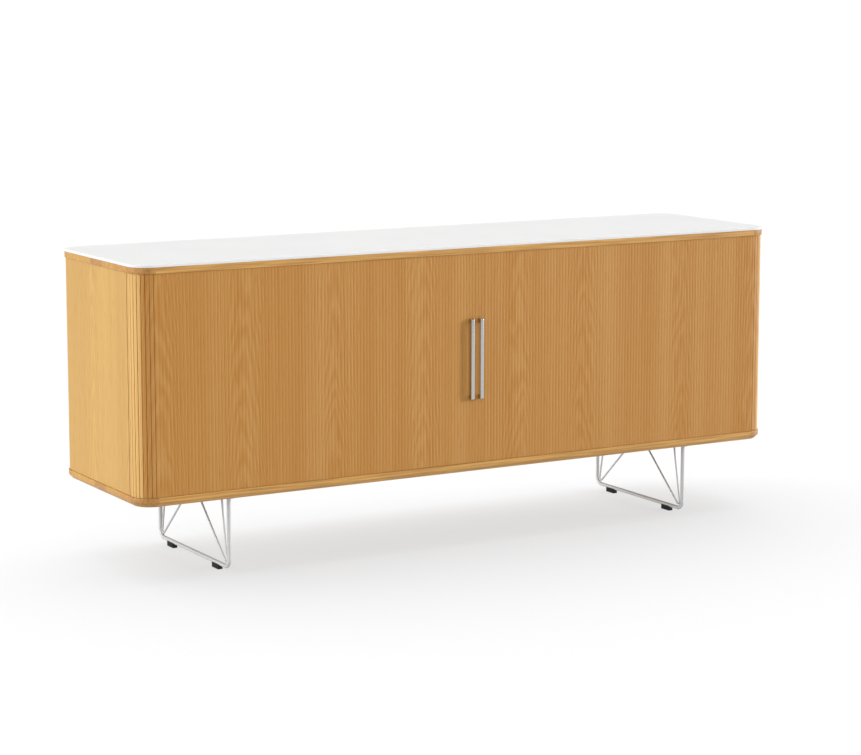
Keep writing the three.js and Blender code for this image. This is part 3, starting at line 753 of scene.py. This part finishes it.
def rod_tree():
    """Bends a round rod along the edges of a mesh, with each corner rounded."""
    tree, add, given = new_tree(
        "bent_rod",
        {
            "Diameter": "Float",
            "Bend": "Float",
            "Bend steps": "Int",
            "Sides": "Int",
            "Finish": "Material",
        },
    )
    line = add("GeometryNodeMeshToCurve", {"Mesh": given["Geometry"]})
    bent = add(
        "GeometryNodeFilletCurve",
        {"Curve": line, "Count": given["Bend steps"], "Radius": given["Bend"]},
        mode="POLY",
    )
    radius = add("ShaderNodeMath", {0: given["Diameter"], 1: 0.5}, operation="MULTIPLY")
    section = add("GeometryNodeCurvePrimitiveCircle", {"Resolution": given["Sides"], "Radius": radius})
    rod = add("GeometryNodeCurveToMesh", {"Curve": bent, "Profile Curve": section, "Fill Caps": True})
    smooth = add("GeometryNodeSetShadeSmooth", {"Geometry": rod, "Shade Smooth": True})
    close_tree(add, smooth, given["Finish"])
    return tree


def fastener_tree():
    """Sets a copy of one fastener on each point of a mesh, turned the same way."""
    tree, add, given = new_tree(
        "fasteners_on_points", {"Fastener": "Object", "Turn": "Rotation", "Finish": "Material"}
    )
    fastener = add("GeometryNodeObjectInfo", {"Object": given["Fastener"]})
    copies = add(
        "GeometryNodeInstanceOnPoints",
        {
            "Points": given["Geometry"],
            "Instance": fastener.outputs["Geometry"],
            "Rotation": given["Turn"],
        },
    )
    close_tree(add, copies, given["Finish"])
    return tree


SLATS = slat_tree()
RODS = rod_tree()
FASTENERS = fastener_tree()


# Fasteners


def turned(profile):
    """A shape turned about Z from radii and heights, with flat ends."""
    turns = [math.tau * i / TURNED_SIDES for i in range(TURNED_SIDES)]
    circle = [(math.cos(turn), math.sin(turn)) for turn in turns]
    return loft([[(radius * x, radius * y, z) for x, y in circle] for radius, z in profile])


def screw(shank, head, rise, length, socket):
    """A pan head screw that points along +Z, centred on its whole length, with a round socket."""
    middle = (length - rise) / 2
    profile = [
        (shank / 2 - SCREW_POINT, length),
        (shank / 2, length - SCREW_POINT),
        (shank / 2, 0),
        (head / 2, 0),
        (head / 2, SCREW_EASE - rise),
        (head / 2 - SCREW_EASE, -rise),
        (socket / 2, -rise),
        (socket / 2, SOCKET_DEPTH - rise),
    ]
    return turned([(radius, z - middle) for radius, z in profile])


def fasteners(name, skin, nodes, turn):
    """Copies of a zinc plated fastener on the middles of the nodes' boxes, as one piece."""
    source = shaped("fastener", skin)
    spots = bpy.data.meshes.new(name)
    boxes = [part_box(held) for held in nodes]
    spots.from_pydata([low.lerp(high, 0.5) for low, high in boxes], [], [])
    piece = grow(show(name, spots), FASTENERS, {"Fastener": source, "Turn": turn, "Finish": zinc})
    bpy.data.objects.remove(source)
    return piece


# Boards


def round_rectangle(inset):
    """The outline of the boards in plan, drawn in all round."""
    radius = CORNER_RADIUS - inset
    steps = math.ceil(math.pi / 2 / ARC_STEP)
    outline = []
    for quarter, (side_x, side_y) in enumerate(((1, 1), (-1, 1), (-1, -1), (1, -1))):
        for i in range(steps + 1):
            angle = math.pi / 2 * (quarter + i / steps)
            x = side_x * corner_x + radius * math.cos(angle)
            y = MIDDLE + side_y * corner_y + radius * math.sin(angle)
            outline.append((x, y))
    return outline


def rounded_rings(z, ease, up):
    """Heights and insets of a rounded edge that ends in a face at z, above its side or below it."""
    rings = []
    for i in range(ROUND_STEPS + 1):
        angle = math.pi / 2 * i / ROUND_STEPS
        inset = ease * (1 - math.cos(angle))
        height = ease * (1 - math.sin(angle))
        rings.append((z - height if up else z + height, inset))
    return rings if up else rings[::-1]


def board(rings):
    """A skin with the outline of the boards, from heights and insets."""
    return loft([[(x, y, z) for x, y in round_rectangle(inset)] for z, inset in rings])


def groove_cutter(low, high):
    """What the tongues of both doors need, all along their tracks."""
    half = GROOVE / 2
    stop = min(curtain_end + TRAVEL + SLAT_PITCH, door_track.length)
    near = door_track.side(0, stop, half)
    far = door_track.side(0, stop, -half)
    outer = [(-x, y) for x, y in near[:0:-1]] + near
    inner = [(-x, y) for x, y in far[:0:-1]] + far
    return prism(outer + inner[::-1], low, high)


def carved(piece, cutter_skin):
    """Cuts a shape out of a piece."""
    cutter = shaped("cutter", cutter_skin)
    modifier = piece.modifiers.new("groove", "BOOLEAN")
    modifier.object = cutter
    modifier.operation = "DIFFERENCE"
    modifier.solver = "EXACT"
    settled(piece)
    bpy.data.objects.remove(cutter)


def make_boards():
    """The white sheet, the top board under it and the base board with its chamfer."""
    rings = [(sheet_low.z, 0.0), *rounded_rings(sheet_high.z, SHEET_EASE, True)]
    sheet = shaped("white_top_sheet", board(rings))
    finished(sheet, laminate, "cabinet", "top_laminate", "top_sheet")

    rings = rounded_rings(top_low.z, BOARD_EASE, False) + rounded_rings(top_high.z, BOARD_EASE, True)
    top = shaped("oak_top_board", board(rings))
    carved(top, groove_cutter(top_low.z - MM, top_low.z + GROOVE_DEPTH))
    finished(top, board_oak, "cabinet", "oak_boards", "top_board")

    rings = [
        (base_low.z, BASE_CHAMFER + BOARD_EASE),
        (base_low.z + BOARD_EASE / 2, BASE_CHAMFER - BOARD_EASE / 2),
        (base_low.z + BASE_CHAMFER - BOARD_EASE / 2, BOARD_EASE / 2),
        (base_low.z + BASE_CHAMFER + BOARD_EASE, 0.0),
        *rounded_rings(base_high.z, BOARD_EASE, True),
    ]
    base = shaped("oak_base_board", board(rings))
    carved(base, groove_cutter(base_high.z - GROOVE_DEPTH, base_high.z + MM))
    finished(base, board_oak, "cabinet", "oak_boards", "bottom_board")


# Panels and the inside


def make_panels():
    """The end panels bend round the back corners and thin to a nose where the doors slip behind them.
    The rear panel stands between them."""
    outer_radius = CORNER_RADIUS - REVEAL
    inner_offset = face_offset + PANEL_CLEARANCE
    reach = front_bend + inner_offset
    nose_angle = math.acos((outer_radius - PANEL_NOSE) / reach)
    nose_start = corner_x + front_bend * (math.pi / 2 + nose_angle)
    nose_y = MIDDLE - corner_y + reach * math.sin(nose_angle)
    outside = Track(END - REVEAL, nose_y, math.pi / 2)
    outside.run(MIDDLE + corner_y - nose_y)
    outside.arc(outer_radius, 90)
    outline = outside.side(0, outside.length)
    outline += door_track.side(nose_start, rear_corner_end, inner_offset)[::-1]
    for side, sign in SIDES.items():
        skin = prism([(sign * x, y) for x, y in outline], OPENING_LOW, OPENING_HIGH)
        panel = shaped(f"{side}_end_panel", skin, PANEL_EASE)
        finished(panel, panel_oak, "cabinet", "oak_panels", f"{side}_side_panel")
    panel = eased_block("rear_panel", "back_panel", PANEL_EASE)
    finished(panel, panel_oak, "cabinet", "oak_panels", "back_panel")


def make_inside():
    """The wall in the middle, the linings that keep what is stored off the doors, the shelves on their
    pins and the blocks that stop the doors."""
    wall = eased_block("middle_wall", "centre_partition", PANEL_EASE)
    finished(wall, lining_oak, "cabinet", "oak_lining", "centre_partition")
    pin_nodes = []
    for side in SIDES:
        for piece, source, finish in (
            ("end_lining", "inner_side", lining_oak),
            ("rear_lining", "inner_back", lining_oak),
            ("shelf_board", "shelf", shelf_oak),
        ):
            made = eased_block(f"{side}_{piece}", f"{side}_{source}", PANEL_EASE)
            finished(made, finish, "cabinet", "oak_lining", f"{side}_{source}")
        for end in ("inner", "outer"):
            pin_nodes += [f"{side}_shelf_pin_{end}_{row}" for row in ("front", "rear")]
        stop = eased_block(f"{side}_stop_block", f"{side}_door_stop", PANEL_EASE)
        finished(stop, rubber, "cabinet", "black_rubber", f"{side}_door_stop")
    low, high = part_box(pin_nodes[0])
    radius = (high.z - low.z) / 2
    half = (high.x - low.x) / 2
    pin = turned(
        [
            (radius - PIN_EASE, -half),
            (radius, PIN_EASE - half),
            (radius, half - PIN_EASE),
            (radius - PIN_EASE, half),
        ]
    )
    pins = fasteners("shelf_pins", pin, pin_nodes, (0, math.pi / 2, 0))
    finished(pins, zinc, "cabinet", "zinc_fasteners", *pin_nodes)


# Doors


def slat():
    """One slat, standing on the track line with its face towards -Y."""
    half = SLAT_WIDTH / 2
    flat = half - SLAT_ROUNDING
    edge = SLAT_CROWN - face_offset
    turns = [math.pi / 2 * i / ROUND_STEPS for i in range(ROUND_STEPS + 1)]
    arc = [
        (flat + SLAT_ROUNDING * math.cos(turn), edge + SLAT_ROUNDING * (1 - math.sin(turn)))
        for turn in turns
    ]
    shares = [1 - i / CROWN_STEPS for i in range(1, CROWN_STEPS)]
    arc += [(flat * share, edge - SLAT_CROWN * (1 - share**2)) for share in shares]
    right = [(half, -slat_foot), *arc]
    outline = [*right, (0, -face_offset)] + [(-x, y) for x, y in right[::-1]]
    return unrolled(to_mesh(prism(outline, slat_low, slat_high), "slat"))


def curtain(side, sign, name, first, count, finish):
    """A run of slats of one door as one piece."""
    points = [(sign * x, y) for x, y in door_track.side(0, curtain_end)]
    line = bpy.data.curves.new("track", "CURVE")
    line.dimensions = "3D"
    spline = line.splines.new("POLY")
    spline.points.add(len(points) - 1)
    for point, (x, y) in zip(spline.points, points):
        point.co = (x, y, 0, 1)
    track = show("track", line)
    piece = grow(
        show(f"{side}_{name}_slats", slat()),
        SLATS,
        {
            "Track": track,
            "First slat": stile_width + (first + 0.5) * SLAT_PITCH,
            "Pitch": SLAT_PITCH,
            "Count": count,
            "Side": float(sign),
            "Finish": finish,
        },
    )
    bpy.data.objects.remove(track)
    return piece


def canvas_band(side, sign, name, start, stop):
    """The canvas behind a run of slats, with the tongues that run in the grooves of the boards."""
    skin = bmesh.new()
    half = TONGUE / 2
    for inner, outer, low, high in (
        (-WEB / 2, slat_foot, slat_low, slat_high),
        (-half, half, OPENING_LOW - TONGUE_DEPTH, slat_low),
        (-half, half, slat_high, OPENING_HIGH + TONGUE_DEPTH),
    ):
        outline = [(sign * x, y) for x, y in door_track.band(start, stop, inner, outer)]
        band = prism(outline, low, high)
        mesh = bpy.data.meshes.new("band")
        bmesh.ops.recalc_face_normals(band, faces=band.faces)
        band.to_mesh(mesh)
        band.free()
        skin.from_mesh(mesh)
        bpy.data.meshes.remove(mesh)
    piece = shaped(f"{side}_{name}_canvas", skin)
    unrolled(piece.data)
    return piece


def make_tambour(side, sign):
    """The slats and the canvas of a door, as runs in front, round the corner and past it. The real
    curtain slides round behind the end panel as the door opens; here every run stays where it is."""
    front = curtain(side, sign, "front", 0, FRONT_SLATS, slat_oak)
    finished(front, slat_oak, "cabinet", "oak_slats", f"{side}_tambour")
    cloth = canvas_band(side, sign, "front", stile_width - CANVAS_ENTRY + FIT, split)
    finished(cloth, canvas, "cabinet", "oak_slats")
    for piece in (front, cloth):
        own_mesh(piece)
    at_corner = CORNER_SLATS[side]
    far_first = FRONT_SLATS + at_corner
    corner = curtain(side, sign, "corner", FRONT_SLATS, at_corner, slat_oak)
    finished(corner, slat_oak, "cabinet", "oak_slats")
    # The slats past the corner wear the paler copy: painted light from the side
    far = curtain(side, sign, "far", far_first, SLAT_COUNT - far_first, painted_light_slat_oak)
    finished(far, painted_light_slat_oak, "cabinet", "oak_slats")
    cloth = canvas_band(side, sign, "corner", split, curtain_end)
    finished(cloth, canvas, "cabinet", "oak_slats")


def make_stile(side, sign):
    """The rigid stile that leads a door, grooved on its face like the slats that follow it."""
    near = MEETING_GAP / 2
    far = stile_width - FIT
    rear = door_face + STILE_DEPTH
    slot = WEB / 2 + FIT
    slot_end = stile_width - CANVAS_ENTRY
    track_y = door_face + face_offset
    outline = [(near, rear), (near, door_face)]
    for i in range(1, STILE_SLATS):
        line = i * SLAT_PITCH
        outline += [
            (line - STILE_GROOVE / 2, door_face),
            (line, door_face + STILE_GROOVE),
            (line + STILE_GROOVE / 2, door_face),
        ]
    outline += [(far, door_face), (far, track_y - slot), (slot_end, track_y - slot)]
    outline += [(slot_end, track_y + slot), (far, track_y + slot), (far, rear)]
    skin = prism([(sign * x, y) for x, y in outline], slat_low, slat_high)
    stile = shaped(f"{side}_leading_stile", skin, STILE_EASE)
    unrolled(stile.data)
    finished(stile, slat_oak, f"{side}_door", "oak_slats", f"{side}_lead_stile")


def make_pull(side):
    """A flat bar bridged between two feet, drawn as its outline seen from the side."""
    low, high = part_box(f"{side}_handle")
    near = low.y + PULL_ROUNDING
    inside = near + PULL_THICKNESS

    def arc(y, z, start, stop):
        """A quarter round about a point of the side view, from one angle to another in degrees."""
        turns = [math.radians(start + (stop - start) * i / PULL_STEPS) for i in range(PULL_STEPS + 1)]
        circle = [(math.cos(turn), math.sin(turn)) for turn in turns]
        return [(y + PULL_ROUNDING * over, z + PULL_ROUNDING * up) for over, up in circle]

    outline = [(high.y, low.z)]
    outline += arc(near, low.z + PULL_ROUNDING, 270, 180)
    outline += arc(near, high.z - PULL_ROUNDING, 180, 90)
    outline += [(high.y, high.z), (high.y, high.z - PULL_FOOT)]
    outline += arc(inside, high.z - PULL_FOOT - PULL_ROUNDING, 90, 180)
    outline += arc(inside, low.z + PULL_FOOT + PULL_ROUNDING, 180, 270)
    outline += [(high.y, low.z + PULL_FOOT)]
    skin = loft([[(x, y, z) for y, z in outline] for x in (low.x, high.x)])
    pull = shaped(f"{side}_bar_pull", skin, PULL_EASE)
    finished(pull, pull_aluminium, f"{side}_door", "handle_aluminium", f"{side}_handle")


def make_pull_screws(side):
    """The two screws that hold a pull from behind its stile."""
    nodes = [f"{side}_handle_screw_{level}" for level in ("lower", "upper")]
    screws = fasteners(f"{side}_pull_screws", screw(**PULL_SCREW), nodes, (math.pi / 2, 0, 0))
    finished(screws, zinc, f"{side}_door", "zinc_fasteners", *nodes)


# Legs


def bent_rod(name, corners, diameter, bend, sides):
    """A steel tube or rod through the given corners."""
    line = bpy.data.meshes.new(name)
    line.from_pydata(corners, [(i, i + 1) for i in range(len(corners) - 1)], [])
    values = {
        "Diameter": diameter,
        "Bend": bend,
        "Bend steps": BEND_STEPS,
        "Sides": sides,
        "Finish": leg_steel,
    }
    return grow(show(name, line), RODS, values)


def make_leg(side):
    """A loop of tube with a V of thin rod in each lower corner, under a flat bar and on two feet."""
    low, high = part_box(f"{side}_leg_tube")
    x = (low.x + high.x) / 2
    radius = TUBE_DIAMETER / 2
    front, rear = low.y + radius, high.y - radius
    rail = low.z + radius
    top = high.z + WELD_DEPTH
    corners = [(x, front, top), (x, front, rail), (x, rear, rail), (x, rear, top)]
    loop = bent_rod(f"{side}_leg_loop", corners, TUBE_DIAMETER, TUBE_BEND, TUBE_SIDES)
    finished(loop, leg_steel, "cabinet", "leg_steel", f"{side}_leg_tube")
    make_braces(side, x, (rear - front) / 2, rail, high.z)
    make_leg_bar(side)
    for row in ("front", "rear"):
        make_glide(side, row, rail)


def make_braces(side, x, reach, rail, under_bar):
    """The two V braces of a leg, mirrored about its middle. Reach is half the length of its rail."""
    # The point of each V nests in a bend of the tube.
    nest = TUBE_BEND - (TUBE_DIAMETER + ROD_DIAMETER) / 2 - FIT - ROD_BEND
    inset = TUBE_BEND - nest * math.sqrt(0.5)
    point = Vector((reach - inset, rail + inset))
    tops = [Vector((ROD_TOP_GAP / 2, under_bar)), Vector((reach - ROD_TOP_SPREAD, under_bar))]
    arms = [(end - point).normalized() for end in tops]
    middle = (arms[0] + arms[1]).normalized()
    half_angle = arms[0].angle(arms[1]) / 2
    tip = point - middle * (ROD_BEND / math.sin(half_angle))
    ends = [end + (end - tip) * (WELD_DEPTH / (end - tip).y) for end in tops]
    for row, sign in (("front", -1), ("rear", 1)):
        corners = [(x, MIDDLE + sign * spot.x, spot.y) for spot in (ends[0], tip, ends[1])]
        brace = bent_rod(f"{side}_leg_{row}_v", corners, ROD_DIAMETER, ROD_BEND, ROD_SIDES)
        finished(brace, leg_steel, "cabinet", "leg_steel", f"{side}_leg_{row}_brace")


def make_leg_bar(side):
    """A flat bar with round ends."""
    low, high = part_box(f"{side}_leg_mounting_bar")
    half = (high.x - low.x) / 2
    outline = Track(high.x, low.y + half, math.pi / 2)
    for _ in range(2):
        outline.run(high.y - low.y - 2 * half)
        outline.arc(half, 180)
    skin = prism(outline.side(0, outline.length)[1:], low.z, high.z)
    bar = shaped(f"{side}_leg_bar", skin, BAR_EASE)
    finished(bar, leg_steel, "cabinet", "leg_steel", f"{side}_leg_mounting_bar")


def make_glide(side, row, rail):
    """A rubber foot that cradles the tube."""
    low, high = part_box(f"{side}_leg_{row}_glide")
    x = (low.x + high.x) / 2
    radius = TUBE_DIAMETER / 2 + FIT
    lip = math.asin((rail - high.z) / radius)
    saddle = []
    for i in range(SADDLE_STEPS + 1):
        angle = -lip - (math.pi - 2 * lip) * i / SADDLE_STEPS
        saddle.append((x + radius * math.cos(angle), rail + radius * math.sin(angle)))
    outline = [(low.x, low.z), (high.x, low.z), (high.x, high.z), *saddle, (low.x, high.z)]
    skin = loft([[(across, y, up) for across, up in outline] for y in (low.y, high.y)])
    glide = shaped(f"{side}_{row}_foot", skin, GLIDE_EASE)
    finished(glide, rubber, "cabinet", "black_rubber", f"{side}_leg_{row}_glide")


def make_leg_screws():
    """The screws that hold both legs' bars under the base board."""
    nodes = [f"{side}_leg_screw_{i}" for side in SIDES for i in (1, 2, 3, 4)]
    screws = fasteners("leg_screws", screw(**LEG_SCREW), nodes, (0, 0, 0))
    finished(screws, zinc, "cabinet", "zinc_fasteners", *nodes)


make_boards()
make_panels()
make_inside()
for side, sign in SIDES.items():
    make_tambour(side, sign)
    make_stile(side, sign)
    make_pull(side)
    make_pull_screws(side)
    make_leg(side)
make_leg_screws()


# Floor, light and camera

FLOOR_REACH = 200  # from the middle to each edge
FLOOR_GLOW = 0.62
ROOM_LIGHT = 0.42

# Azimuth, elevation and spread in degrees, then strength
SOFTBOXES = {
    "rear_softbox": (180, 45, 100, 0.3),
    "left_softbox": (-103, 15, 60, 3.85),
    "right_softbox": (65, 12, 10, 2.4),
    "right_rim_softbox": (82, 10, 40, 1.3),
    "front_softbox": (-15, 40, 70, 0.88),
}
FLOOR_SOFTBOX = (165, 49, 110, 9.4)

# Angles in degrees, the lens and the sensor in millimetres
CAMERA_PLACE = (-3.12831, -5.36259, 1.3843)
CAMERA_YAW = 30.21
CAMERA_PITCH = 8.1097
CAMERA_LENS = 103.569
CAMERA_SENSOR = 36
CAMERA_SHIFT = (0.00417, -0.05)


def make_floor():
    """A plain matt floor that glows, so that it looks pale and the shadows on it stay soft and light."""
    made, add = new_material("pale_studio_floor")
    matt = add("ShaderNodeBsdfDiffuse", {"Color": "#616162"})
    glow = add("ShaderNodeEmission", {"Color": "#FFFFFF", "Strength": FLOOR_GLOW})
    shader = add("ShaderNodeAddShader", {0: matt, 1: glow})
    add("ShaderNodeOutputMaterial", {"Surface": shader})
    mesh = bpy.data.meshes.new("studio_floor")
    corners = ((-1, -1), (1, -1), (1, 1), (-1, 1))
    mesh.from_pydata([(x * FLOOR_REACH, y * FLOOR_REACH, 0) for x, y in corners], [], [(0, 1, 2, 3)])
    mesh.materials.append(made)
    floor = show("studio_floor", mesh)
    return floor


def make_sun(name, azimuth, elevation, spread, strength):
    """A soft light from far away. At azimuth 0 it shines from the front, at 90 from the right."""
    lamp = bpy.data.lights.new(name, "SUN")
    lamp.angle = math.radians(spread)
    lamp.energy = strength
    made = show(name, lamp)
    made.rotation_euler = (math.radians(90 - elevation), 0, math.radians(azimuth))
    return made


def make_light(floor):
    """Soft lights in a room that the camera sees as white and that lights the piece with less."""
    scene = bpy.context.scene
    scene.view_settings.view_transform = "Standard"
    world = bpy.data.worlds.new("white_room")
    world.use_nodes = True
    world.node_tree.nodes.clear()
    add = partial(node, world.node_tree)
    seen = add("ShaderNodeLightPath").outputs["Is Camera Ray"]
    strength = add("ShaderNodeMapRange", {"Value": seen, "To Min": ROOM_LIGHT, "To Max": 1.0})
    walls = add("ShaderNodeBackground", {"Color": "#FFFFFF", "Strength": strength})
    add("ShaderNodeOutputWorld", {"Surface": walls})
    scene.world = world
    for name, setting in SOFTBOXES.items():
        make_sun(name, *setting)

    # A light for the floor alone keeps the shadow neutral and in front of the cabinet.
    overhead = make_sun("floor_softbox", *FLOOR_SOFTBOX)
    lit = bpy.data.collections.new("lit_by_floor_softbox")
    lit.objects.link(floor)
    overhead.light_linking.receiver_collection = lit


def make_camera():
    """The photograph's viewing angle."""
    lens = bpy.data.cameras.new("camera")
    lens.sensor_width = CAMERA_SENSOR
    lens.lens = CAMERA_LENS
    lens.shift_x, lens.shift_y = CAMERA_SHIFT
    made = show("camera", lens)
    made.location = CAMERA_PLACE
    made.rotation_euler = (math.radians(90 - CAMERA_PITCH), 0, math.radians(-CAMERA_YAW))
    bpy.context.scene.camera = made


make_light(make_floor())
make_camera()
